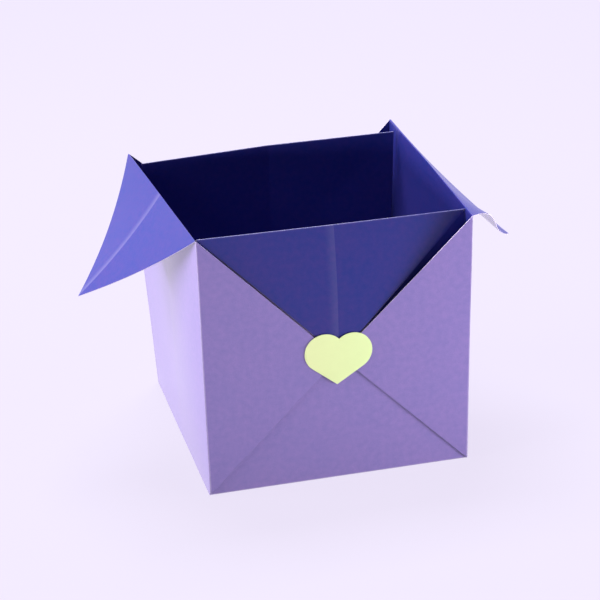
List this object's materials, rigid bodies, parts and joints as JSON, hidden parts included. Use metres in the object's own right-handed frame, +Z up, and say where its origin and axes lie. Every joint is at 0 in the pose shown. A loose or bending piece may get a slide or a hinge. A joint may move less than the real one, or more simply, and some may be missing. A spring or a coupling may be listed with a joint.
{
  "type": "origami box",
  "caption": "Open cube gift box folded from a square of two-coloured paper, with darted corners, triangular lid flaps and a heart sticker that holds the front.",
  "frame": {"origin": "middle of the bottom square's underside, on the surface the box stands on", "axes": "+Z up; -Y towards the front with the heart sticker; +X to the right seen from the front"},
  "size_m": [0.1263, 0.0756, 0.0764],
  "materials": {
    "lavender_paper": "matt craft paper, the sheet's outside",
    "blue_paper": "matt craft paper, the sheet's inside",
    "green_sticker": "satin paper sticker"
  },
  "bodies": {
    "box": {"folded_sheet": "lavender_paper", "heart_sticker": "green_sticker"},
    "left_flap": {"left_flap": "blue_paper"},
    "right_flap": {"right_flap": "blue_paper"}
  },
  "joints": [
    {"name": "left_flap_fold", "type": "hinge", "parent": "box", "child": "left_flap", "pos_m": [-0.03985, 0.00095, 0.07389], "axis": [0.0554, -0.9985, 0.004], "range_deg": [-227.2, 34.8]},
    {"name": "right_flap_fold", "type": "hinge", "parent": "box", "child": "right_flap", "pos_m": [0.03744, -0.0002, 0.0746], "axis": [0.0025, 0.999, 0.0456], "range_deg": [-224.6, 37.4]}
  ]
}
